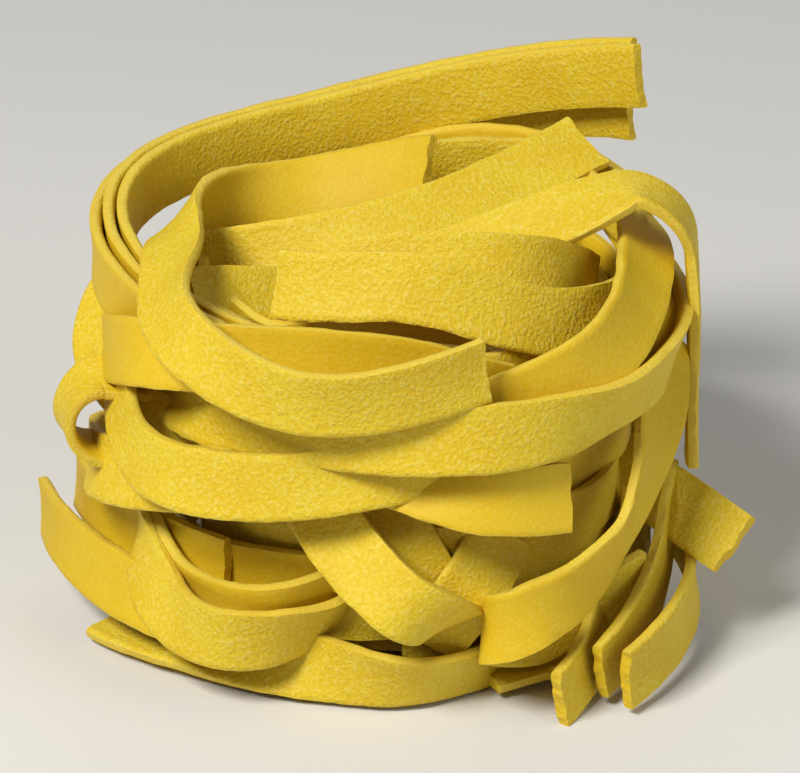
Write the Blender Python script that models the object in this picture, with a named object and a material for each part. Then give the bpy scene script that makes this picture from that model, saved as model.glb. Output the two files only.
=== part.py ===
"""Dry pasta nest: one heap of flat egg-pasta strands, wound and dried into a nest.

Metres, +Z up.  The nest stands on the plane z = 0, and the origin is under the middle of its
overall size.  The front is towards -Y, the loose tab points to +X.  The whole heap is one
closed solid out to its uneven outline: a drum-shaped filling with the outer strands over it.
"""
import math

import bmesh
import bpy
import numpy as np

for old in list(bpy.data.objects):
    bpy.data.objects.remove(old, do_unlink=True)

# Driving sizes in metres.
STRAND_WIDTH = 0.0070        # cut width of the flat strand
STRAND_SOLID = 0.0026        # strand thickness with the crevice beside it filled
NEST_RADIUS = 0.0300         # usual distance of an outer strand from the axis
FILLING_RADIUS = 0.0285      # the wound strands inside, taken as solid
FILLING_TOP = 0.0400         # rim height of the filling
HOLLOW_DEPTH = 0.0040        # dip in the middle of the top
FOOT_RADIUS = 0.0250         # flat area the nest stands on
FOOT_SINK = 0.0020           # filling carried below z = 0 before the foot is cut flat
GRAIN = 0.00085              # smallest shape kept in the solid
ROW_ANGLE = 7.0              # bearing between two cross-sections of a wound strand, degrees
SPAN_ROWS = 8                # cross-sections of a straight or folded stretch
FACE_BUDGET = 9000           # triangles wanted in the finished solid

PASTA_YELLOW = (0.72, 0.47, 0.07, 1.0)


# Bearings run round the nest in degrees: 0 front, 90 right, 180 back, 270 left.  Places are
# in millimetres: "out" is how far a strand stands out from NEST_RADIUS, "height" is its height,
# and "lean" is how far its flat face leans up.  Several values are set at even shares of the
# stretch, and the strand passes smoothly through them.
def ease(values, share):
    """Smooth curve through the values, from share 0 to share 1."""
    if not isinstance(values, tuple):
        return float(values)
    padded = (2 * values[0] - values[1],) + values + (2 * values[-1] - values[-2],)
    spot = share * (len(values) - 1)
    first = min(int(spot), len(values) - 2)
    t = spot - first
    p0, p1, p2, p3 = padded[first:first + 4]
    return p1 + 0.5 * t * (p2 - p0 + t * (2 * p0 - 5 * p1 + 4 * p2 - p3
                                          + t * (3 * (p1 - p2) + p3 - p0)))


def outward(bearing, lean):
    """Direction that a flat face looks to."""
    b = math.radians(bearing)
    up = math.radians(lean)
    return np.array((math.sin(b) * math.cos(up), -math.cos(b) * math.cos(up), math.sin(up)))


def wind(first, last, out, height, lean=0, middle=(0, 0), side=1, turn=0):
    """Stretch wound round a middle, from one bearing to another."""
    count = max(5, round(abs(last - first) / ROW_ANGLE))
    rows = []
    for i in range(count + 1):
        share = i / count
        bearing = first + (last - first) * share
        reach = NEST_RADIUS * 1000 + ease(out, share)
        b = math.radians(bearing)
        point = np.array((middle[0] + reach * math.sin(b), middle[1] - reach * math.cos(b),
                          ease(height, share)))
        face = outward(bearing + ease(turn, share), side * ease(lean, share))
        rows.append((point, side * face))
    return rows


def span(start, end, bow=0, facing=0, lean=45):
    """Straight stretch from one place to another, bowed towards the back by bow."""
    start = np.array(start, dtype=float)
    end = np.array(end, dtype=float)
    rows = []
    for i in range(SPAN_ROWS + 1):
        share = i / SPAN_ROWS
        point = start + (end - start) * share
        point[1] += bow * math.sin(math.pi * share)
        rows.append((point, outward(ease(facing, share), ease(lean, share))))
    return rows


def fold(bearing, drift, reach, height, radius, first=90, last=-90):
    """Stretch bent over in an upright plane, its face turning from first to last degrees up."""
    rows = []
    for i in range(SPAN_ROWS + 1):
        share = i / SPAN_ROWS
        angle = first + (last - first) * share
        a = math.radians(angle)
        b = math.radians(bearing + drift * share)
        far = reach + radius * math.cos(a)
        point = np.array((far * math.sin(b), -far * math.cos(b), height + radius * math.sin(a)))
        rows.append((point, outward(bearing + drift * share, angle)))
    return rows


def rim_strands():
    """Three strands side by side round the back and left of the rim, their right ends free."""
    made = []
    for n in range(3):
        rise = 0 if n == 0 else 5.5
        made.append(wind(136 - 3 * n, 310 + 4 * n,
                         (6.5 - 1.3 * n, 2.5 - 1.5 * n, 2.5 - 1.5 * n, -3 - 2.5 * n),
                         (45 + rise, 40.5 + 0.4 * rise, 39.5 + 0.2 * rise, 36 - 0.5 * n)))
    return made


def top_strands():
    """The loop at the front of the top, and the strands that cross the hollow."""
    return [
        wind(150, 397, (-9.5, -9.5, -11.5, -14, -9.5, -6.5, -4.5),
             (45.5, 41.5, 43, 43, 40.5, 37.2, 39.5), (-45, -35, 25, 52, 22, -8, 0), (-7, -9)),
        span((20, 14, 46), (-21, 2, 37), -7, (10, -5, 0, 30), (55, 50, 40, 15)),
        wind(-36, 85, (-9, -9.5, -7, -4.5), (43, 44, 38.5, 36), (25, 27, 20, 5)),
        wind(-34, 84, (-13, -14, -11, -10), (42.5, 44.5, 43, 36), (30, 30, 20, 0)),
        wind(-39, 32, (-9.5, -15, -14.5, -11), (36.5, 36.5, 35.5, 34.5), (50, 55, 50, 40)),
    ]


def right_strands():
    """The ring at the right of the top, and the strand that arches over it and hangs down."""
    arch = (span((4, -7, 41), (17, -6, 46), 0, -15, 60)
            + fold(80, 4, 22.5, 40.5, 7.5, 80, 10)
            + span((30.3, -3, 36), (30.6, -3, 17), 0, 85, 0))
    return [
        wind(174, 4, (-11, -5, -5.5, -4, 0, -3), (40.5, 40.5, 42, 41, 37, 31.5),
             (0, 5, 30, 38, 18, 0)),
        wind(142, 29, (-3, -5, -2, -2.5), (39.5, 40, 35, 29), (0, 8, 8, 0)),
        arch,
    ]


def front_strands():
    """The broad bands across the front, and the two that slant down under them."""
    return [
        wind(282, 385, (0.5, 1, -4, -5.5, -6), (31.5, 36.5, 37.5, 37, 33), (-3, 0, 8, 8, 0)),
        wind(292, 472, (-4, -1, 1.5, -0.5, -3), (29, 32, 32.5, 32.5, 34), (5, 7, 5, -20, 0)),
        wind(282, 432, (-1, 3, 1.5, -1.2, -2, -3.5, -4), (33, 26, 26, 28, 29, 30, 30.5),
             (0, 8, 12, 5, 0, 0, 0)),
        wind(339, 393, (-6, -4, 0, 1), (28, 27, 25.3, 24), (5, 20, 22, 20)),
        wind(333, 375, (-7, -4, -0.5, 2, -6.5), (25.5, 21, 17, 13.5, 8.5),
             (15, 25, 20, 0, -35)),
        wind(349, 367, (-9, -7, -5, -5), (27, 22, 18, 13), (15, 25, 20, 5)),
    ]


def left_strands():
    """The strands that fall down the left side, the small fold there, and the two tails."""
    small_fold = (span((-20, -9, 28.5), (-28.5, -10, 29.5), 0, 288, 85)
                  + fold(288, 0, 32.3, 25.7, 3.9)
                  + span((-28.5, -10, 22), (-20, -7, 20), 0, 288, -85))
    return [
        wind(264, 306, (-1.5, 1.5, 1, -2, -6), (37, 33, 30, 27, 26), 12, turn=(42, 30, 15, 5)),
        wind(262, 350, (1, 3, -0.5, -5), (15.5, 20.5, 24.5, 26), (0, 5, 4, 0),
             turn=(0, 15, 5, 0)),
        small_fold,
        wind(264, 327, (8.5, 4, 1, -2), 8, (0, 12, 14, 0)),
        wind(260, 320, (5, 1, -1.5, -3), (10.5, 12, 13, 13), 5),
    ]


def low_strands():
    """The strand flat under the front, and the bowl of strands above it."""
    return [
        wind(288, 390, (2, -3, -4, -2.5, -7), (1.5, 2.5, 4, 4, 3.5), (82, 72, 20, -25, -10)),
        wind(290, 348, (-2, 1.5, 2, -8), (16.5, 10, 8.5, 9), (10, 15, -5, -10)),
        wind(291, 351, (-2, -0.5, -0.5, -10), (15.5, 11, 11, 13), (0, -8, -20, -5)),
    ]


def loose_strands():
    """The curl at the lower right, the free ends beside it and the tab that stands out."""
    curl = (wind(76, 31, (-2, 0, 1.5, 3), (33, 26, 18.5, 14.5), (0, -5, -25, -5),
                 turn=(-20, -15, 0, 0))
            + wind(22, -140, -26.2, (13.3, 10.5, 7.5), (10, 5, 0), (12.2, -26.4))
            + wind(32, 60, (-4, -0.5), (6.5, 9), 0, side=-1))
    return [
        curl,
        span((26, -15, 3.5), (8.6, -22, 1.5), 0, 0, 82),
        wind(78, 27.5, (-5, -3, 4.2), (13, 7, 3), (0, 5, 0), turn=(0, 10, 25)),
        wind(84, 36.5, (-2, 0, 3.5), (15, 8.5, 4.5), (0, 5, 0), turn=(0, 10, 25)),
        wind(94, 38.5, (-2, 3, 6.2), (8.5, 6.5, 4.3), (0, 5, 0), turn=(0, 10, 25)),
        span((21, -0.5, 16.6), (34.8, -13.5, 11.8), 0, 5, 22),
    ]


def back_strands():
    """Turns round the back, each tilted its own way, and shorter ones laid across them."""
    made = []
    for n in range(6):
        level = 4.2 + 6.4 * n
        tilt = (0, -1, 3.5, -3, 2, -2)[n]
        made.append(wind(80 + 12 * (n % 3), 262 + 10 * (n % 4),
                         (-4, -1.5 + n % 2, -0.5 - n % 2, -4),
                         (level - tilt, level + 1 - tilt, level + 3 - n + tilt, level + tilt),
                         (6 - 4 * (n % 3), 8 - 6 * (n % 2), 2)))
    for n in range(4):
        made.append(wind(96 + 28 * n, 190 + 24 * n, (-3, 1.5, 2, -3),
                         (13 + 5 * n, 20 + n, 26 - 4 * n, 33 - 8 * n), (0, 10, -5),
                         turn=8 - 5 * n))
    return made


def unit(vectors):
    return vectors / np.linalg.norm(vectors, axis=1)[:, None]


def add_strand(mesh, rows):
    """One flat bar swept along its rows."""
    line = np.array([point for point, _ in rows]) / 1000
    face = np.array([look for _, look in rows])
    along = unit(np.gradient(line, axis=0))
    face = unit(face - (face * along).sum(axis=1)[:, None] * along)
    side = np.cross(along, face)
    half_w = STRAND_WIDTH / 2
    half_t = STRAND_SOLID / 2
    rings = []
    for p, s, f in zip(line, side, face):
        corners = [p + a * half_w * s + b * half_t * f
                   for a, b in ((-1, -1), (1, -1), (1, 1), (-1, 1))]
        rings.append([mesh.verts.new(c) for c in corners])
    for one, two in zip(rings, rings[1:]):
        for k in range(4):
            mesh.faces.new((one[k], one[(k + 1) % 4], two[(k + 1) % 4], two[k]))
    mesh.faces.new(rings[0][::-1])
    mesh.faces.new(rings[-1])


def filling_radius(bearing, share):
    """Radius of the wound inner strands at a share of the height, slightly uneven all round."""
    b = math.radians(bearing)
    belly = FOOT_RADIUS + (FILLING_RADIUS - FOOT_RADIUS) * math.sin(math.pi * min(share, 0.5))
    uneven = 0.0006 * math.sin(3 * b + 5 * share) + 0.0005 * math.sin(5 * b - 4 * share)
    return belly + uneven


def add_filling(mesh):
    """Drum-shaped filling with a shallow hollow in its top."""
    around = 48
    levels = 14
    rings = []
    for i in range(levels + 1):
        share = i / levels
        height = -FOOT_SINK + share * (FILLING_TOP + FOOT_SINK)
        ring = []
        for k in range(around):
            bearing = 360 * k / around
            r = filling_radius(bearing, share)
            b = math.radians(bearing)
            ring.append(mesh.verts.new((r * math.sin(b), -r * math.cos(b), height)))
        rings.append(ring)
    for one, two in zip(rings, rings[1:]):
        for k in range(around):
            n = (k + 1) % around
            mesh.faces.new((one[k], one[n], two[n], two[k]))
    mesh.faces.new(rings[0][::-1])
    middle = mesh.verts.new((0, 0, FILLING_TOP - HOLLOW_DEPTH))
    for k in range(around):
        mesh.faces.new((rings[-1][k], rings[-1][(k + 1) % around], middle))


def add_modifier(part, kind, **settings):
    """Add one modifier and make its result the part's own mesh."""
    modifier = part.modifiers.new(kind.lower(), kind)
    for name, value in settings.items():
        setattr(modifier, name, value)
    graph = bpy.context.evaluated_depsgraph_get()
    made = bpy.data.meshes.new_from_object(part.evaluated_get(graph))
    part.modifiers.clear()
    part.data = made


heap = bmesh.new()
add_filling(heap)
for family in (rim_strands, top_strands, right_strands, front_strands, left_strands,
               low_strands, loose_strands, back_strands):
    for strand in family():
        add_strand(heap, strand)
bmesh.ops.recalc_face_normals(heap, faces=heap.faces)
heap_mesh = bpy.data.meshes.new("pasta_nest")
heap.to_mesh(heap_mesh)
heap.free()

nest = bpy.data.objects.new("pasta_nest", heap_mesh)
bpy.context.collection.objects.link(nest)
add_modifier(nest, "REMESH", mode="VOXEL", voxel_size=GRAIN)
add_modifier(nest, "SMOOTH", factor=0.5, iterations=2)
add_modifier(nest, "DECIMATE", ratio=FACE_BUDGET / (2 * len(nest.data.polygons)))

# The foot is cut flat, so the solid stands on one plane.
cutter_mesh = bpy.data.meshes.new("foot_cut")
cutter = bmesh.new()
bmesh.ops.create_cube(cutter, size=0.2)
bmesh.ops.translate(cutter, verts=cutter.verts, vec=(0, 0, -0.1))
cutter.to_mesh(cutter_mesh)
cutter.free()
foot_cut = bpy.data.objects.new("foot_cut", cutter_mesh)
bpy.context.collection.objects.link(foot_cut)
add_modifier(nest, "BOOLEAN", operation="DIFFERENCE", solver="EXACT", object=foot_cut)
bpy.data.objects.remove(foot_cut, do_unlink=True)

# One clean closed skin: loose crumbs left by the cut are dropped, short edges are closed up.
skin = bmesh.new()
skin.from_mesh(nest.data)
bmesh.ops.triangulate(skin, faces=skin.faces)
unseen = set(skin.verts)
islands = []
while unseen:
    reached = [unseen.pop()]
    island = set(reached)
    while reached:
        for edge in reached.pop().link_edges:
            for other in edge.verts:
                if other in unseen:
                    unseen.discard(other)
                    island.add(other)
                    reached.append(other)
    islands.append(island)
islands.sort(key=len)
for crumb in islands[:-1]:
    bmesh.ops.delete(skin, geom=list(crumb), context="VERTS")
bmesh.ops.dissolve_degenerate(skin, dist=0.00002, edges=skin.edges)
bmesh.ops.triangulate(skin, faces=skin.faces)
bmesh.ops.recalc_face_normals(skin, faces=skin.faces)

# The origin goes under the middle of the overall length and depth.
for axis in (0, 1):
    reach = [v.co[axis] for v in skin.verts]
    middle_of_reach = (min(reach) + max(reach)) / 2
    for v in skin.verts:
        v.co[axis] -= middle_of_reach
skin.to_mesh(nest.data)
skin.free()

pasta = bpy.data.materials.new("dry_egg_pasta")
pasta.use_nodes = True
principled = pasta.node_tree.nodes["Principled BSDF"]
principled.inputs["Base Color"].default_value = PASTA_YELLOW
principled.inputs["Roughness"].default_value = 0.75
nest.data.materials.clear()
nest.data.materials.append(pasta)
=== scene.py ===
"""A dry pasta nest: flat egg-dough strands, wound into a heap, dried and stuck together.
The strands are laid over a small core inside the library's solid: metres, +Z up, front to -Y."""
import math

import bmesh
import bpy
import numpy as np
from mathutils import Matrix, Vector, kdtree, noise


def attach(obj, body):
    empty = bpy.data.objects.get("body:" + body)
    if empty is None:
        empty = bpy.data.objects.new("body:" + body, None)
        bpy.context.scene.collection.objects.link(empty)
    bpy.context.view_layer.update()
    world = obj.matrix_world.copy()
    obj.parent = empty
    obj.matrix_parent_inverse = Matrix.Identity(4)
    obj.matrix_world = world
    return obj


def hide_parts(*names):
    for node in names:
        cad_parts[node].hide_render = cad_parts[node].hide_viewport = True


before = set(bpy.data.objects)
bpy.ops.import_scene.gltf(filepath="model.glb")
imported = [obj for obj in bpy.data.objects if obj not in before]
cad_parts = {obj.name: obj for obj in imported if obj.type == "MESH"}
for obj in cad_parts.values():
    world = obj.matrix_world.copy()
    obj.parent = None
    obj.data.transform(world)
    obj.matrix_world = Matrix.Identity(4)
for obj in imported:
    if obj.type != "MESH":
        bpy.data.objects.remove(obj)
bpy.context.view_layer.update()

# --- Rim strands ----------------------------------------------------------------------------
# Three strands lie side by side round the back and left of the rim, and their right ends stand
# free. Like all the others they are egg dough, rolled to a sheet between a grained roller and a
# smooth one, slit into tagliatelle, wound while soft and dried hard.
MM = 0.001
NEST_RADIUS = 30.0           # usual distance of an outer strand from the axis, mm
STRAND_W = 7.0               # slit width, mm
STRAND_T = 1.2               # thickness of the dried sheet, mm
EDGE_ROUND = 0.26            # wear of the slit edges, mm
AXIS = np.array([1.32, -0.05, 0.0])    # the winding axis in the library's frame, mm
laid = []                    # every strand laid so far


def add(tree, kind, links=(), take=0, **settings):
    """Add one node with its settings, fill its sockets with values or links, give one output."""
    node = tree.nodes.new(kind)
    for name, value in settings.items():
        setattr(node, name, value)
    for socket, value in dict(links).items():
        if isinstance(value, bpy.types.NodeSocket):
            tree.links.new(value, node.inputs[socket])
        else:
            node.inputs[socket].default_value = value
    return node.outputs if take is None else node.outputs[take]


def hex_linear(code):
    """sRGB hex to linear colour."""
    parts = [int(code[i:i + 2], 16) / 255 for i in (1, 3, 5)]
    return tuple(c / 12.92 if c <= 0.04045 else ((c + 0.055) / 1.055) ** 2.4
                 for c in parts) + (1.0,)


# The strip's unevenness in mm: the size of each kind of lump, and how far it moves a point.
BITE_SIZE = 1.7              # bites in a torn end
TORN_REACH = 2.2             # length of an end that is torn
WANDER_SIZE, WANDER_DEPTH = 2.6, 0.16      # slit edges
WAVE_SIZE, WAVE_DEPTH = 9.0, 0.18          # dried faces
PEBBLE_SIZE = 1.1            # the grained roller's marks
CRUMB_SIZE = 0.7             # crumbs of dough on it
GRAIN_DEPTH = 0.03           # of both of them
CUP_DEPTH = 0.25             # how far the edges rise as the strip dries
CUP_LEVEL = 0.33             # share of it taken off all over, so that the strip stays in place
SMOOTH_FACE = 0.35           # share of the grain on the face that met the smooth roller
FACE_CHANGE = 2.5            # how fast one face's grain becomes the other's, per mm
SEED_STEP = 0.31             # distance between two strands in the noise, m
SOFT_ANGLE = 0.9             # edges bent less than this are shaded smooth, radians


def strip_tree():
    """Geometry Nodes: a straight slit strip is bent onto its route and given the sheet's grain."""
    tree = bpy.data.node_groups.new("strip_on_route", "GeometryNodeTree")
    face = tree.interface
    face.new_socket("Geometry", in_out="INPUT", socket_type="NodeSocketGeometry")
    face.new_socket("Geometry", in_out="OUTPUT", socket_type="NodeSocketGeometry")
    for name in ("Length", "Width", "Thickness", "Round", "Step", "Grain", "Cup", "Tear", "Seed",
                 "Rough Side"):
        face.new_socket(name, in_out="INPUT", socket_type="NodeSocketFloat")
    face.new_socket("Material", in_out="INPUT", socket_type="NodeSocketMaterial")
    given = tree.nodes.new("NodeGroupInput").outputs
    number, vector = "ShaderNodeMath", "ShaderNodeVectorMath"
    store, fetch = "GeometryNodeStoreNamedAttribute", "GeometryNodeInputNamedAttribute"

    # The flat strip: a straight bar, swept with the section that the slitter leaves.
    route = add(tree, "GeometryNodeMeshToCurve", {"Mesh": given["Geometry"]})
    end = add(tree, "ShaderNodeCombineXYZ", {"X": given["Length"]})
    bar = add(tree, "GeometryNodeCurvePrimitiveLine", {"End": end})
    rows = add(tree, number, {0: given["Length"], 1: given["Step"]}, operation="DIVIDE")
    rows = add(tree, number, {0: rows}, operation="CEIL")
    rows = add(tree, number, {0: rows, 1: 1.0}, operation="ADD")
    bar = add(tree, "GeometryNodeResampleCurve", {"Curve": bar, "Count": rows})
    cut = add(tree, "GeometryNodeCurvePrimitiveQuadrilateral",
              {"Width": given["Width"], "Height": given["Thickness"]})
    cut = add(tree, "GeometryNodeFilletCurve",
              {"Curve": cut, "Radius": given["Round"], "Count": 3}, mode="POLY")
    cut = add(tree, "GeometryNodeResampleCurve", {"Curve": cut, "Length": given["Step"]},
              mode="LENGTH")
    strip = add(tree, "GeometryNodeCurveToMesh",
                {"Curve": bar, "Profile Curve": cut, "Fill Caps": True})

    # Its own measures stay with it as "strip": along, across and through the thickness.
    place = add(tree, "GeometryNodeInputPosition")
    strip = add(tree, store, {"Geometry": strip, "Name": "strip", "Value": place},
                data_type="FLOAT_VECTOR", domain="POINT")
    flat = add(tree, fetch, {"Name": "strip"}, data_type="FLOAT_VECTOR")
    along, wide, thick = add(tree, "ShaderNodeSeparateXYZ", {0: flat}, take=None)

    # One face met the grained roller: the rough value is 1 there and low on the other face.
    turned = add(tree, number, {0: thick, 1: given["Rough Side"]}, operation="MULTIPLY")
    rough = add(tree, number, {0: turned, 1: FACE_CHANGE / MM, 2: 0.5},
                operation="MULTIPLY_ADD", use_clamp=True)
    rough = add(tree, number, {0: rough, 1: 1 - SMOOTH_FACE, 2: SMOOTH_FACE},
                operation="MULTIPLY_ADD")
    strip = add(tree, store, {"Geometry": strip, "Name": "rough", "Value": rough},
                data_type="FLOAT", domain="POINT")
    rough = add(tree, fetch, {"Name": "rough"}, data_type="FLOAT")

    # Lumps of several sizes, from -1 to 1, and no two strands have the same.
    seed = add(tree, number, {0: given["Seed"], 1: SEED_STEP}, operation="MULTIPLY")
    seed = add(tree, "ShaderNodeCombineXYZ", {"X": seed})
    moved = add(tree, vector, {0: flat, 1: seed}, operation="ADD")
    lumps = {}
    for use, size, detail in (("bite", BITE_SIZE, 1.0), ("wander", WANDER_SIZE, 2.0),
                              ("wave", WAVE_SIZE, 1.0), ("pebble", PEBBLE_SIZE, 2.0),
                              ("crumb", CRUMB_SIZE, 1.0)):
        made = add(tree, "ShaderNodeTexNoise", {"Vector": moved, "Scale": 1.0 / (size * MM),
                                                "Detail": detail, "Roughness": 0.5})
        lumps[use] = add(tree, number, {0: made, 1: 2.0, 2: -1.0}, operation="MULTIPLY_ADD")

    # Torn ends: bites of different depth, only near the two cuts.
    half_l = add(tree, number, {0: given["Length"], 1: 0.5}, operation="MULTIPLY")
    from_mid = add(tree, number, {0: along, 1: half_l}, operation="SUBTRACT")
    to_end = add(tree, number, {0: from_mid}, operation="ABSOLUTE")
    to_end = add(tree, number, {0: half_l, 1: to_end}, operation="SUBTRACT")
    near = add(tree, number, {0: to_end, 1: TORN_REACH * MM}, operation="DIVIDE")
    near = add(tree, number, {0: 1.0, 1: near}, operation="SUBTRACT", use_clamp=True)
    near = add(tree, number, {0: near, 1: given["Tear"]}, operation="MULTIPLY")
    bite = add(tree, number, {0: lumps["bite"], 1: 0.7, 2: 0.45}, operation="MULTIPLY_ADD")
    bite = add(tree, number, {0: near, 1: bite}, operation="MULTIPLY")
    bite = add(tree, number, {0: bite, 1: -1.0}, operation="MULTIPLY")
    sign = add(tree, number, {0: from_mid}, operation="SIGN")
    inward = add(tree, number, {0: sign, 1: bite}, operation="MULTIPLY")
    along = add(tree, number, {0: along, 1: inward}, operation="ADD")
    share = add(tree, number, {0: along, 1: given["Length"]}, operation="DIVIDE",
                use_clamp=True)

    # The slit edges wander a little, and the strip cups and waves as it dries.
    half_w = add(tree, number, {0: given["Width"], 1: 0.5}, operation="MULTIPLY")
    edge = add(tree, number, {0: wide, 1: half_w}, operation="DIVIDE")
    edge_sq = add(tree, number, {0: edge, 1: edge}, operation="MULTIPLY")
    wander = add(tree, number, {0: lumps["wander"], 1: edge_sq}, operation="MULTIPLY")
    wander = add(tree, number, {0: wander, 1: WANDER_DEPTH * MM}, operation="MULTIPLY")
    wide = add(tree, number, {0: wide, 1: wander}, operation="ADD")
    cup = add(tree, number, {0: edge_sq, 1: CUP_LEVEL}, operation="SUBTRACT")
    cup = add(tree, number, {0: cup, 1: given["Cup"]}, operation="MULTIPLY")
    wave = add(tree, number, {0: lumps["wave"], 1: WAVE_DEPTH * MM}, operation="MULTIPLY")
    thick = add(tree, number, {0: thick, 1: cup}, operation="ADD")
    thick = add(tree, number, {0: thick, 1: wave}, operation="ADD")

    # Each point of the flat strip goes to its place beside the route.
    across = add(tree, fetch, {"Name": "across"}, data_type="FLOAT_VECTOR")
    there = add(tree, "GeometryNodeSampleCurve",
                {"Curves": route, "Value": across, "Factor": share}, take=None,
                data_type="FLOAT_VECTOR", mode="FACTOR")
    side = add(tree, vector, {0: there[0]}, operation="NORMALIZE")
    up = add(tree, vector, {0: side, 1: there["Tangent"]}, operation="CROSS_PRODUCT")
    up = add(tree, vector, {0: up}, operation="NORMALIZE")
    out_w = add(tree, vector, {0: side, "Scale": wide}, operation="SCALE")
    out_t = add(tree, vector, {0: up, "Scale": thick}, operation="SCALE")
    spot = add(tree, vector, {0: there["Position"], 1: out_w}, operation="ADD")
    spot = add(tree, vector, {0: spot, 1: out_t}, operation="ADD")
    strip = add(tree, "GeometryNodeSetPosition", {"Geometry": strip, "Position": spot})

    # The roller's grain stands out of the faces, and crumbs make the slit edges rougher.
    normal = add(tree, "GeometryNodeInputNormal")
    pebble = add(tree, number, {0: lumps["pebble"], 1: given["Grain"]}, operation="MULTIPLY")
    crumb = add(tree, number, {0: lumps["crumb"], 1: given["Grain"]}, operation="MULTIPLY")
    relief = add(tree, number, {0: pebble, 1: crumb}, operation="ADD")
    relief = add(tree, number, {0: relief, 1: rough}, operation="MULTIPLY")
    out = add(tree, vector, {0: normal, "Scale": relief}, operation="SCALE")
    strip = add(tree, "GeometryNodeSetPosition", {"Geometry": strip, "Offset": out})
    angle = add(tree, "GeometryNodeInputMeshEdgeAngle")
    soft = add(tree, "FunctionNodeCompare", {0: angle, 1: SOFT_ANGLE}, data_type="FLOAT",
               operation="LESS_THAN")
    strip = add(tree, "GeometryNodeSetShadeSmooth", {"Geometry": strip, "Shade Smooth": soft},
                domain="EDGE")
    strip = add(tree, "GeometryNodeRealizeInstances", {"Geometry": strip})
    strip = add(tree, "GeometryNodeSetMaterial",
                {"Geometry": strip, "Material": given["Material"]})
    tree.links.new(strip, tree.nodes.new("NodeGroupOutput").inputs[0])
    return tree


# Dried egg dough, rolled: matt and dense, a clear yolk yellow. The face that met the grained
# roller is pebbled and floury, the other is smoother and deeper in colour.
EGG_YELLOW = "#D8BC26"
YOLK_DEEP = "#CFA80E"
FLOUR_PALE = "#DFCD66"
DOUGH_ROUGHNESS = 0.6
GRAIN_SIZE, GRAIN_RELIEF = 0.42, 0.20      # fine grain as drawn, mm
CLOUD_SIZE = 6.0             # clouds of deeper colour, mm
PALE_EDGE = 0.2              # paler margin of a slit edge, mm


def dough_material():
    made = bpy.data.materials.new("dried_egg_dough")
    made.use_nodes = True
    tree = made.node_tree
    shader = tree.nodes["Principled BSDF"]
    flat = add(tree, "ShaderNodeAttribute", take="Vector", attribute_name="strip")
    rough = add(tree, "ShaderNodeAttribute", take="Fac", attribute_name="rough")
    across = add(tree, "ShaderNodeSeparateXYZ", {0: flat}, take="Y")
    spot = add(tree, "ShaderNodeTexCoord", take="Object")

    # The roller's fine grain, really about 0.3 mm, is drawn at 0.4 mm, so that it shows.
    lumps = add(tree, "ShaderNodeTexNoise", {"Vector": spot, "Scale": 1 / (GRAIN_SIZE * MM),
                                             "Detail": 2.0, "Roughness": 0.55})
    cloud = add(tree, "ShaderNodeTexNoise", {"Vector": spot, "Scale": 1 / (CLOUD_SIZE * MM),
                                             "Detail": 2.0})

    # The yolk's colour is deeper in clouds, on the smooth face and in the grain's hollows.
    colour = hex_linear(EGG_YELLOW)
    for value, low, high in ((cloud, 0.35, 0.65), (rough, 1.0, SMOOTH_FACE), (lumps, 0.48, 0.3)):
        deep = add(tree, "ShaderNodeMapRange", {"Value": value, "From Min": low, "From Max": high,
                                                "To Min": 0.0, "To Max": 0.5})
        colour = add(tree, "ShaderNodeMix", {"Factor": deep, 6: colour, 7: hex_linear(YOLK_DEEP)},
                     take=2, data_type="RGBA")

    # Flour stays on the grain's tops. The slit edges are drawn a little paler.
    floury = add(tree, "ShaderNodeMapRange", {"Value": lumps, "From Min": 0.5, "From Max": 0.72,
                                              "To Min": 0.0, "To Max": 0.6})
    floury = add(tree, "ShaderNodeMath", {0: floury, 1: rough}, operation="MULTIPLY")
    edge = add(tree, "ShaderNodeMath", {0: across}, operation="ABSOLUTE")
    edge = add(tree, "ShaderNodeMapRange",
               {"Value": edge, "From Min": (STRAND_W / 2 - PALE_EDGE) * MM,
                "From Max": STRAND_W / 2 * MM, "To Min": 0.0, "To Max": 0.3})
    pale = add(tree, "ShaderNodeMath", {0: floury, 1: edge}, operation="MAXIMUM")
    colour = add(tree, "ShaderNodeMix", {"Factor": pale, 6: colour, 7: hex_linear(FLOUR_PALE)},
                 take=2, data_type="RGBA")
    tree.links.new(colour, shader.inputs["Base Color"])
    shader.inputs["Roughness"].default_value = DOUGH_ROUGHNESS
    shader.inputs["Specular IOR Level"].default_value = 0.3
    shader.inputs["Subsurface Weight"].default_value = 0.1
    shader.inputs["Subsurface Radius"].default_value = (1.0, 0.6, 0.1)
    shader.inputs["Subsurface Scale"].default_value = 1.0 * MM
    bump = add(tree, "ShaderNodeBump", {"Height": lumps, "Strength": rough,
                                        "Distance": GRAIN_RELIEF * MM})
    tree.links.new(bump, shader.inputs["Normal"])
    return made


STRIP = strip_tree()
DOUGH = dough_material()


# A route is a list of rows: a point in mm and the direction that the flat face looks to. Bearings
# run round the nest in degrees: 0 front, 90 right, 180 back, 270 left. "out" is how far a strand
# stands out from NEST_RADIUS and "lean" is how far its face leans up. Several values are set at
# even shares of the stretch, and the strand passes smoothly through them.
ROW_ANGLE = 7                # bearing between two rows of a wound stretch, degrees


def ease(values, share):
    """Smooth curve through the values, from share 0 to share 1."""
    if not isinstance(values, tuple):
        return float(values)
    padded = (2 * values[0] - values[1],) + values + (2 * values[-1] - values[-2],)
    spot = share * (len(values) - 1)
    first = min(int(spot), len(values) - 2)
    t = spot - first
    p0, p1, p2, p3 = padded[first:first + 4]
    return p1 + 0.5 * t * (p2 - p0 + t * (2 * p0 - 5 * p1 + 4 * p2 - p3
                                          + t * (3 * (p1 - p2) + p3 - p0)))


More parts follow.
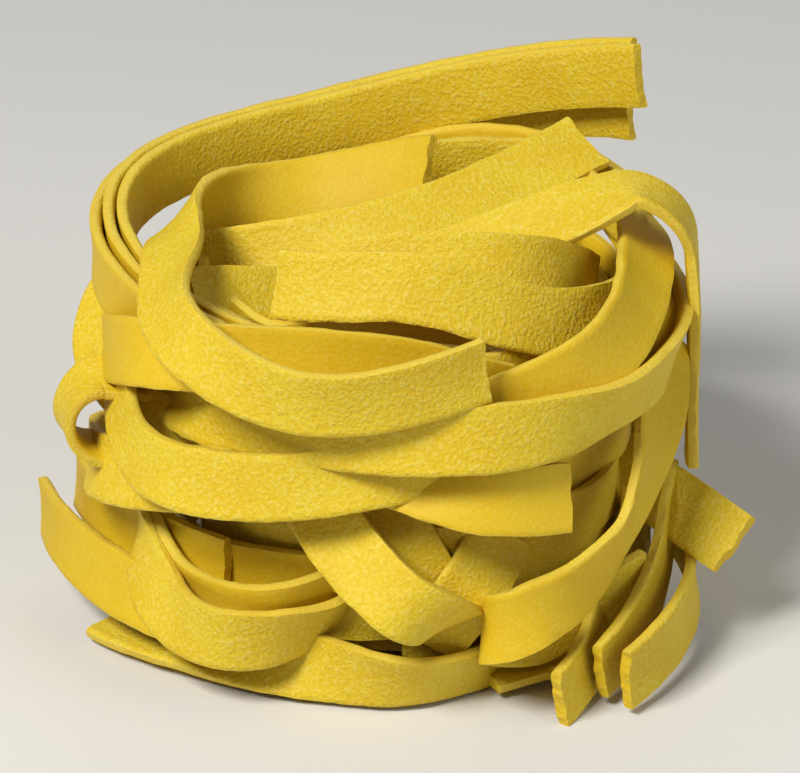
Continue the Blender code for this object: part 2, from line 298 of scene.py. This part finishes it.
def outward(bearing, lean):
    """Direction that a flat face looks to."""
    b = math.radians(bearing)
    up = math.radians(lean)
    return np.array((math.sin(b) * math.cos(up), -math.cos(b) * math.cos(up), math.sin(up)))


def wind(first, last, out, height, lean=0, middle=(0, 0), side=1, turn=0):
    """Stretch wound round a middle, from one bearing to another."""
    count = max(5, round(abs(last - first) / ROW_ANGLE))
    rows = []
    for i in range(count + 1):
        share = i / count
        bearing = first + (last - first) * share
        reach = NEST_RADIUS + ease(out, share)
        b = math.radians(bearing)
        point = np.array((middle[0] + reach * math.sin(b), middle[1] - reach * math.cos(b),
                          ease(height, share)))
        face = outward(bearing + ease(turn, share), side * ease(lean, share))
        rows.append((point, side * face))
    return rows


ROW = 1.4                    # spacing of the rows that a strand is settled with, mm
FINER = 6                    # points made between two rows before they are spaced evenly


def smooth(rows, pieces):
    """Smooth line through the rows, with the given number of pieces between two of them."""
    padded = np.vstack([2 * rows[0] - rows[1], rows, 2 * rows[-1] - rows[-2]])
    line = []
    for i in range(len(rows) - 1):
        p0, p1, p2, p3 = padded[i:i + 4]
        for step in range(pieces):
            t = step / pieces
            line.append(p1 + 0.5 * t * (p2 - p0 + t * (2 * p0 - 5 * p1 + 4 * p2 - p3
                                                       + t * (3 * (p1 - p2) + p3 - p0))))
    line.append(rows[-1])
    return np.array(line)


def unit(vectors):
    return vectors / np.maximum(np.linalg.norm(vectors, axis=-1, keepdims=True), 1e-9)


def even_rows(line, face):
    """The same route with its rows a fixed distance apart."""
    run = np.concatenate([[0], np.cumsum(np.linalg.norm(np.diff(line, axis=0), axis=1))])
    count = max(4, int(round(run[-1] / ROW)) + 1)
    at = np.linspace(0, run[-1], count)
    line = np.column_stack([np.interp(at, run, line[:, k]) for k in range(3)])
    face = unit(np.column_stack([np.interp(at, run, face[:, k]) for k in range(3)]))
    return line, face


def squared(line, face):
    """Face and side directions square to the route."""
    along = unit(np.gradient(line, axis=0))
    face = unit(face - (face * along).sum(axis=1)[:, None] * along)
    return face, np.cross(along, face)


LANES = (-2.8, -1.4, 0.0, 1.4, 2.8)   # points across a strand that may touch another, mm


def lane_points(strand):
    face, side = squared(strand["line"], strand["face"])
    return strand["line"][:, None, :] + np.array(LANES)[None, :, None] * side[:, None, :]


STIFF = 3                    # rows over which a push bends a strand


def blur(values, reach):
    """Average along a strand, so that a push bends it instead of kinking it."""
    weights = np.exp(-0.5 * (np.arange(-3 * reach, 3 * reach + 1) / reach) ** 2)
    weights /= weights.sum()
    padded = np.pad(values, ((3 * reach, 3 * reach), (0, 0)), mode="edge")
    return np.column_stack([np.convolve(padded[:, k], weights, "valid") for k in range(3)])


# Settling: strands that lie close push each other off a little in every round. Two that cross
# right through each other stay crossed.
CLEAR = 1.26                 # centre distance of two strands that touch, mm
LOOK = 1.2                   # how much farther neighbours are looked for, mm
LOOK_EVERY = 8               # rounds between two searches
SELF_ROWS = 5                # rows of a strand that are too near each other to touch
GROUND = 0.75                # lowest height of a lane, mm
LIFT = 0.6                   # share of what a lane has sunk that is made up in a round
HOLD = 0.985                 # share of a push kept from round to round
BEND = 0.35                  # how readily pushes on the lanes move the row
TWIST = 20.0                 # how hard it is to twist a row, square mm


def settle(group, rounds, give):
    """Push the strands of a group off those already laid, off each other and off the ground."""
    everyone = laid + group
    fixed = len(laid)
    lanes = len(LANES)
    points = [lane_points(s) for s in everyone]
    sizes = [p.shape[0] for p in points]
    owner = np.concatenate([np.full(n * lanes, i) for i, n in enumerate(sizes)])
    row = np.concatenate([np.repeat(np.arange(n), lanes) for n in sizes])
    starts = np.concatenate([[0], np.cumsum([n * lanes for n in sizes])])
    soft = np.where(owner < fixed, 0.0, 1.0)
    pushes = [np.zeros((n, 3)) for n in sizes]
    base = [s["line"].copy() for s in everyone]
    pairs = np.zeros((0, 2), dtype=int)
    for done in range(rounds):
        for i in range(fixed, len(everyone)):
            points[i] = lane_points(everyone[i])
        cloud = np.concatenate([p.reshape(-1, 3) for p in points])
        if done % LOOK_EVERY == 0:
            near = kdtree.KDTree(len(cloud))
            for k, p in enumerate(cloud):
                near.insert(p, k)
            near.balance()
            found = []
            for k in range(starts[fixed], len(cloud)):
                for _, j, _ in near.find_range(cloud[k], CLEAR + LOOK):
                    if owner[j] != owner[k] or abs(row[j] - row[k]) > SELF_ROWS:
                        if soft[j] == 0.0 or j < k:
                            found.append((k, j))
            pairs = np.array(found, dtype=int).reshape(-1, 2)
        a, b = pairs[:, 0], pairs[:, 1]
        gap = cloud[a] - cloud[b]
        far = np.linalg.norm(gap, axis=1)
        press = np.maximum(0.0, CLEAR - far)
        way = gap / np.maximum(far, 1e-6)[:, None]
        share = soft[a] / (soft[a] + soft[b])
        move = np.zeros_like(cloud)
        np.add.at(move, a, way * (press * share)[:, None])
        np.add.at(move, b, -way * (press * (1 - share))[:, None])
        move[:, 2] += np.maximum(0.0, GROUND - cloud[:, 2]) * LIFT
        for i in range(fixed, len(everyone)):
            own = move[starts[i]:starts[i + 1]].reshape(-1, lanes, 3)
            strand = everyone[i]
            pushes[i] = blur(pushes[i] * HOLD + own.sum(axis=1) * BEND * give, STIFF)
            face, side = squared(strand["line"], strand["face"])
            twist = (np.array(LANES)[None, :, None]
                     * np.cross(side[:, None, :], own)).sum(axis=1) / TWIST
            strand["face"] = unit(strand["face"] + np.cross(blur(twist, STIFF), strand["face"]))
            strand["line"] = base[i] + pushes[i]


def lay(routes, rounds=30, give=0.5):
    """Turn routes into strands, settle them and keep them as laid."""
    group = []
    for name, rows in routes.items():
        points, faces = zip(*rows)
        line = smooth(np.array(points) + AXIS, FINER)
        line, face = even_rows(line, smooth(np.array(faces), FINER))
        group.append({"name": name, "line": line, "face": face, "seed": len(laid) + len(group)})
    settle(group, rounds, give)
    laid.extend(group)
    return group


ROUTE_FINER = 3              # points of the finished route for each row


def strip_mesh(strand, rough_side, step, tear):
    """One strand as a plain mesh, made by the strip tree on its route."""
    line = smooth(strand["line"] * MM, ROUTE_FINER)
    _, side = squared(line, smooth(strand["face"], ROUTE_FINER))
    route = bpy.data.meshes.new("route")
    route.from_pydata([tuple(p) for p in line],
                      [(i, i + 1) for i in range(len(line) - 1)], [])
    route.attributes.new("across", "FLOAT_VECTOR", "POINT").data.foreach_set(
        "vector", side.astype(np.float32).ravel())
    length = float(np.linalg.norm(np.diff(line, axis=0), axis=1).sum())
    holder = bpy.data.objects.new(strand["name"], route)
    bpy.context.collection.objects.link(holder)
    modifier = holder.modifiers.new("strip", "NODES")
    modifier.node_group = STRIP
    settings = {"Length": length, "Width": STRAND_W * MM, "Thickness": STRAND_T * MM,
                "Round": EDGE_ROUND * MM, "Step": step * MM, "Grain": GRAIN_DEPTH * MM,
                "Cup": CUP_DEPTH * MM, "Tear": tear * MM, "Seed": float(strand["seed"]),
                "Rough Side": float(rough_side), "Material": DOUGH}
    for item in STRIP.interface.items_tree:
        if item.in_out == "INPUT" and item.name in settings:
            modifier[item.identifier] = settings[item.name]
    graph = bpy.context.evaluated_depsgraph_get()
    made = bpy.data.meshes.new_from_object(holder.evaluated_get(graph))
    bpy.data.objects.remove(holder, do_unlink=True)
    return made


def finish_piece(name, strands, smooth_out=(), step=0.45, tear=0.5):
    """Join a family of strands into one piece. Those in smooth_out show their smooth face."""
    whole = bmesh.new()
    for strand in strands:
        rough_side = -1 if strand["name"] in smooth_out else 1
        mesh = strip_mesh(strand, rough_side, step, tear)
        whole.from_mesh(mesh)
        bpy.data.meshes.remove(mesh)
    bmesh.ops.triangulate(whole, faces=[f for f in whole.faces if len(f.verts) > 4])
    bmesh.ops.recalc_face_normals(whole, faces=whole.faces)
    mesh = bpy.data.meshes.new(name)
    whole.to_mesh(mesh)
    whole.free()
    mesh.materials.clear()
    mesh.materials.append(DOUGH)
    piece = bpy.data.objects.new(name, mesh)
    bpy.context.collection.objects.link(piece)
    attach(piece, "root")
    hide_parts("pasta_nest")
    return piece


rim = {}
for n in range(3):
    rise = 0 if n == 0 else 5.5
    rim[f"rim_{n}"] = wind(136 - 3 * n, 310 + 4 * n,
                           (6.5 - 1.3 * n, 2.5 - 1.5 * n, 2.5 - 1.5 * n, -3 - 2.5 * n),
                           (45 + rise, 40.5 + 0.4 * rise, 39.5 + 0.2 * rise, 36 - 0.5 * n))
finish_piece("rim_strands", lay(rim), set(rim))

# --- Top strands ----------------------------------------------------------------------------
# One long strand swings from the middle of the hollow round to the left and forms the low loop at
# the front. Shorter ones cross the hollow, lying tilted on each other as they fell.


SPAN_ROWS = 8                # rows of a straight or folded stretch


def span(start, end, bow=0, facing=0, lean=45):
    """Straight stretch from one place to another, bowed towards the back by bow."""
    start = np.array(start, dtype=float)
    end = np.array(end, dtype=float)
    rows = []
    for i in range(SPAN_ROWS + 1):
        share = i / SPAN_ROWS
        point = start + (end - start) * share
        point[1] += bow * math.sin(math.pi * share)
        rows.append((point, outward(ease(facing, share), ease(lean, share))))
    return rows


top = {
    "front_loop": wind(150, 397, (-9.5, -9.5, -11.5, -14, -9.5, -6.5, -4.5),
                       (45.5, 41.5, 43, 43, 40.5, 37.2, 39.5),
                       (-45, -35, 25, 52, 22, -8, 0), (-7, -9)),
    "cross_front": wind(-36, 85, (-9, -9.5, -7, -4.5), (43, 44, 38.5, 36), (25, 27, 20, 5)),
    "cross_back": wind(-34, 84, (-13, -14, -11, -10), (42.5, 44.5, 43, 36), (30, 30, 20, 0)),
    "diagonal": span((20, 14, 46), (-21, 2, 37), -7, (10, -5, 0, 30), (55, 50, 40, 15)),
    "under_cross": span((-21, -12, 39), (-6, -4, 35.5), 0, -10, 43),
    "under_front": wind(-39, 32, (-9.5, -15, -14.5, -11), (36.5, 36.5, 35.5, 34.5),
                        (50, 55, 50, 40)),
}
finish_piece("top_strands", lay(top), {"under_front"})

# --- Right ring -----------------------------------------------------------------------------
# A ring of two strands closes the right of the hollow.
right = {
    "right_ring": wind(174, 4, (-11, -5, -5.5, -4, 0, -3), (40.5, 40.5, 42, 41, 37, 31.5),
                       (0, 5, 30, 38, 18, 0)),
    "right_ring_outer": wind(142, 29, (-3, -5, -2, -2.5), (39.5, 40, 35, 29), (0, 8, 8, 0)),
}
finish_piece("right_strands", lay(right), {"right_ring", "right_ring_outer"})

# --- Front bands ----------------------------------------------------------------------------
# Broad turns run across the front at mid height, each laid over the last, and two strands slant
# down from under them. The left band's free end shows at the far left.
front = {
    "left_band": wind(282, 385, (0.5, 1, -4, -5.5, -6), (31.5, 36.5, 37.5, 37, 33),
                      (-3, 0, 8, 8, 0)),
    "front_band": wind(292, 472, (-4, -1, 1.5, -0.5, -3), (29, 32, 32.5, 32.5, 34),
                       (5, 7, 5, -20, 0)),
    "front_band_low": wind(282, 432, (-1, 3, 1.5, -1.2, -2, -3.5, -4),
                           (33, 26, 26, 28, 29, 30, 30.5), (0, 8, 12, 5, 0, 0, 0)),
    "short_end": wind(339, 393, (-6, -4, 0, 1), (28, 27, 25.3, 24), (5, 20, 22, 20)),
    "slant": wind(333, 375, (-7, -4, -0.5, 2, -6.5), (25.5, 21, 17, 13.5, 8.5),
                  (15, 25, 20, 0, -35)),
    "slant_behind": wind(349, 367, (-9, -7, -5, -5), (27, 22, 18, 13), (15, 25, 20, 5)),
}
finish_piece("front_strands", lay(front), {"left_band", "short_end"})

# --- Left strands ---------------------------------------------------------------------------
# Two strands fall down the left side behind the left band, a third is bent over there into a
# small open fold, and the ends of two more stand out low down like tails.


def fold(bearing, drift, reach, height, radius, first=90, last=-90):
    """Stretch bent over in an upright plane, its face turning from first to last degrees up."""
    rows = []
    for i in range(SPAN_ROWS + 1):
        share = i / SPAN_ROWS
        angle = first + (last - first) * share
        a = math.radians(angle)
        b = math.radians(bearing + drift * share)
        far = reach + radius * math.cos(a)
        point = np.array((far * math.sin(b), -far * math.cos(b), height + radius * math.sin(a)))
        rows.append((point, outward(bearing + drift * share, angle)))
    return rows


left = {
    "left_high": wind(264, 306, (-1.5, 1.5, 1, -2, -6), (37, 33, 30, 27, 26), 12,
                      turn=(42, 30, 15, 5)),
    "left_low": wind(262, 350, (1, 3, -0.5, -5), (15.5, 20.5, 24.5, 26), (0, 5, 4, 0),
                     turn=(0, 15, 5, 0)),
    "left_fold": (span((-20, -9, 28.5), (-28.5, -10, 29.5), 0, 288, 85)
                  + fold(288, 0, 32.3, 25.7, 3.9)
                  + span((-28.5, -10, 22), (-20, -7, 20), 0, 288, -85)),
    "left_tail": wind(264, 327, (8.5, 4, 1, -2), 8, (0, 12, 14, 0)),
    "left_tail_behind": wind(260, 320, (5, 1, -1.5, -3), (10.5, 12, 13, 13), 5),
}
finish_piece("left_strands", lay(left), {"left_tail", "left_tail_behind"})

# --- Low strands ----------------------------------------------------------------------------
# One strand lies nearly flat under the front edge. Above it three more bend inwards round a
# shallow bowl, the outer one showing its rough face and the inner ones their smooth face.
low = {
    "foot_strip": wind(288, 390, (2, -3, -4, -2.5, -7), (1.5, 2.5, 4, 4, 3.5),
                       (82, 72, 20, -25, -10)),
    "low_bowl": wind(290, 348, (-2, 1.5, 2, -8), (16.5, 10, 8.5, 9), (10, 15, -5, -10)),
    "low_bowl_inner": wind(291, 351, (-2, -0.5, -0.5, -10), (15.5, 11, 11, 13),
                           (0, -8, -20, -5)),
    "bowl_back": wind(276, 375, (0, -3.5, -6, -10.5), (13, 12, 13, 13)),
    "rough_low": wind(25, 6, (-6, -3, -4), (18, 13.5, 7), (20, 20, -10)),
    "short_under": wind(8, 63, -8, (15, 13), -12),
}
finish_piece("low_strands", lay(low), {"low_bowl_inner", "bowl_back"})

# --- Hanging strand, curl, free ends and tab ------------------------------------------------
# One strand arches over the ring and hangs down the right side, nearly edge-on. At the lower
# right another comes down and curls back under itself. Beside it the broken ends of three
# strands stand like fingers, one lies flat, and a broad tab sticks out to the right.
curl = (wind(76, 31, (-2, 0, 1.5, 3), (33, 26, 18.5, 14.5), (0, -5, -25, -5),
             turn=(-20, -15, 0, 0))
        + wind(22, -140, -26.2, (13.3, 10.5, 7.5), (10, 5, 0), (12.2, -26.4))
        + wind(32, 60, (-4, -0.5), (6.5, 9), 0, side=-1))
loose = {
    "hanging": (span((4, -7, 41), (17, -6, 46), 0, -15, 60)
                + fold(80, 4, 22.5, 40.5, 7.5, 80, 10)
                + span((30.3, -3, 36), (30.6, -3, 17), 0, 85, 0)),
    "right_curl": curl,
    "flat_end": span((26, -15, 3.5), (8.6, -22, 1.5), 0, 0, 82),
    "finger_0": wind(78, 27.5, (-5, -3, 4.2), (13, 7, 3), (0, 5, 0), turn=(0, 10, 25)),
    "finger_1": wind(84, 36.5, (-2, 0, 3.5), (15, 8.5, 4.5), (0, 5, 0), turn=(0, 10, 25)),
    "finger_2": wind(94, 38.5, (-2, 3, 6.2), (8.5, 6.5, 4.3), (0, 5, 0), turn=(0, 10, 25)),
    "right_tab": span((21, -0.5, 16.6), (34.8, -13.5, 11.8), 0, 5, 22),
}
finish_piece("loose_strands", lay(loose), {"right_curl"}, tear=0.8)

# --- Back turns -----------------------------------------------------------------------------
# The back is wound like the front: turns of the same strand from the foot up to the rim, each
# tilted its own way and dipping inside the next at its ends, with shorter ones laid across.
back = {}
for n in range(6):
    level = 4.2 + 6.4 * n
    tilt = (0, -1, 3.5, -3, 2, -2)[n]
    back[f"back_{n}"] = wind(80 + 12 * (n % 3), 262 + 10 * (n % 4),
                             (-4, -1.5 + n % 2, -0.5 - n % 2, -4),
                             (level - tilt, level + 1 - tilt, level + 3 - n + tilt, level + tilt),
                             (6 - 4 * (n % 3), 8 - 6 * (n % 2), 2))
for n in range(4):
    back[f"back_across_{n}"] = wind(96 + 28 * n, 190 + 24 * n, (-3, 1.5, 2, -3),
                                    (13 + 5 * n, 20 + n, 26 - 4 * n, 33 - 8 * n),
                                    (0, 10, -5), turn=8 - 5 * n)
finish_piece("back_strands", lay(back))

# --- Second layer ---------------------------------------------------------------------------
# Behind the outer strands lie more turns, which show as darker strands through the gaps.
second = {}
for n in range(5):
    level = 8 + 6.5 * n
    second[f"second_{n}"] = wind(222 + 72 * n, 562 + 72 * n, (-7.5, -6, -7.5, -7, -8),
                                 (level, level + 2, level + 1 - n % 3, level), 5 - 5 * (n % 3))
second["second_high"] = wind(150, 305, (-3, -4.5, -5, -6.5), (38.5, 37, 35.5, 34))
finish_piece("second_strands", lay(second), step=0.7)

# --- Inner turns ----------------------------------------------------------------------------
# The winding goes on inside in looser rings, the last three of them close under the hollow.
inner = {}
for n in range(10):
    under = n > 6
    reach = -15.5 if under else -9.5
    level = 27.5 + 2.5 * (n - 7) if under else 4.5 + 4.9 * n
    start = 97 * n
    inner[f"inner_{n}"] = wind(start, start + 324, (reach + 1.5, reach - 2, reach, reach - 3),
                               (level, level + 1.2, level - 1.2, level),
                               70 if under else 12 * math.sin(n))
finish_piece("inner_strands", lay(inner, rounds=40, give=1.0), step=0.8)

# --- Core -----------------------------------------------------------------------------------
# The heart of the nest is packed too tight to see into. A lumpy drum of the same dough closes the
# last gaps; its colour is painted shade, a deep brown-orange mottled with the yolk's deep tone.
# Painted shade: this deep brown-orange stands in for the shade inside the nest.
CORE_PAINTED_SHADE = "#A87812"
CORE_RADIUS = 20.0           # mm
CORE_LOW, CORE_HIGH = 3.0, 29.0       # mm
BROAD_LUMPS = (3, 0.07)      # lumps to a core radius, and their height as a share of it
NARROW_LUMPS = (9, 0.03)
CORE_MOTTLE = 1.5            # patches of its two colours, mm
core_mesh = bpy.data.meshes.new("core")
drum = bmesh.new()
bmesh.ops.create_icosphere(drum, subdivisions=5, radius=1.0)
half_height = (CORE_HIGH - CORE_LOW) / 2
for v in drum.verts:
    flat = math.hypot(v.co.x, v.co.y)
    grow = 1 / max(flat, abs(v.co.z))
    lump = 1
    for count, height in (BROAD_LUMPS, NARROW_LUMPS):
        lump += height * noise.noise(v.co * count)
    v.co = Vector((v.co.x * grow * CORE_RADIUS * lump + AXIS[0],
                   v.co.y * grow * CORE_RADIUS * lump + AXIS[1],
                   CORE_LOW + half_height * (1 + v.co.z * grow * lump))) * MM
bmesh.ops.recalc_face_normals(drum, faces=drum.faces)
drum.to_mesh(core_mesh)
drum.free()
core_mesh.shade_smooth()
heart = bpy.data.materials.new("inner_dough_painted_shade")
heart.use_nodes = True
heart_shader = heart.node_tree.nodes["Principled BSDF"]
heart_spot = add(heart.node_tree, "ShaderNodeTexCoord", take="Object")
heart_shade_mottle = add(heart.node_tree, "ShaderNodeTexNoise",
                  {"Vector": heart_spot, "Scale": 1 / (CORE_MOTTLE * MM), "Detail": 3.0})
# Painted shade: the core's colour mixes the painted shade tone with the yolk's deep tone in
# patches.
heart_shade_colour = add(heart.node_tree, "ShaderNodeMix",
                   {"Factor": heart_shade_mottle, 6: hex_linear(CORE_PAINTED_SHADE), 7: hex_linear(YOLK_DEEP)},
                   take=2, data_type="RGBA")
heart.node_tree.links.new(heart_shade_colour, heart_shader.inputs["Base Color"])
heart_shader.inputs["Roughness"].default_value = 0.8
core_mesh.materials.append(heart)
core = bpy.data.objects.new("core", core_mesh)
bpy.context.collection.objects.link(core)
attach(core, "root")
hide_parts("pasta_nest")

# --- Floor, light and camera ----------------------------------------------------------------
# A plain pale floor, one soft lamp high at the front left, and two weak ones to open the shade.
FLOOR_REACH = 3.0            # m
floor_mesh = bpy.data.meshes.new("floor")
floor_mesh.from_pydata([(x * FLOOR_REACH, y * FLOOR_REACH, 0)
                        for x, y in ((-1, -1), (1, -1), (1, 1), (-1, 1))], [], [(0, 1, 2, 3)])
floor = bpy.data.objects.new("floor", floor_mesh)
bpy.context.collection.objects.link(floor)
paint = bpy.data.materials.new("pale_floor_paint")
paint.use_nodes = True
paint_shader = paint.node_tree.nodes["Principled BSDF"]
paint_shader.inputs["Base Color"].default_value = hex_linear("#D9D7D2")
paint_shader.inputs["Roughness"].default_value = 0.8
floor_mesh.materials.append(paint)

WALL_LIGHT = 0.14            # what the studio's walls send back
WALL_COLOUR = (0.93, 0.95, 1.0, 1.0)
world = bpy.data.worlds.new("studio")
bpy.context.scene.world = world
world.use_nodes = True
walls = world.node_tree.nodes["Background"].inputs
walls["Color"].default_value = WALL_COLOUR
walls["Strength"].default_value = WALL_LIGHT


LAMP_AIM = Vector((0, 0, 0.02))       # m


def lamp(name, place, size, power, colour=(1.0, 1.0, 1.0)):
    """Square soft lamp that looks at the nest."""
    made = bpy.data.lights.new(name, "AREA")
    made.size = size
    made.energy = power
    made.color = colour
    holder = bpy.data.objects.new(name, made)
    bpy.context.collection.objects.link(holder)
    holder.location = place
    look = LAMP_AIM - Vector(place)
    holder.rotation_euler = look.to_track_quat("-Z", "Y").to_euler()


lamp("key", (-0.28, -0.34, 0.50), 0.20, 4.6, (1.0, 0.99, 0.96))
lamp("fill", (0.6, -0.3, 0.35), 0.5, 1.5)
lamp("back", (0.1, 0.6, 0.5), 0.5, 0.9)

CAMERA_TILT = 25.0           # degrees above level
CAMERA_FAR = 400.0           # mm from the middle of the nest
AIM_HEIGHT = 23.9            # mm
SENSOR, LENS = 36.0, 171.0   # mm
camera_data = bpy.data.cameras.new("camera")
camera_data.sensor_width = SENSOR
camera_data.lens = LENS
camera = bpy.data.objects.new("camera", camera_data)
bpy.context.collection.objects.link(camera)
tilt = math.radians(CAMERA_TILT)
aim = Vector((AXIS[0], AXIS[1], AIM_HEIGHT))
camera.location = (aim + Vector((0, -math.cos(tilt), math.sin(tilt))) * CAMERA_FAR) * MM
camera.rotation_euler = (math.radians(90) - tilt, 0, 0)
bpy.context.scene.camera = camera
bpy.context.scene.view_settings.view_transform = "Standard"
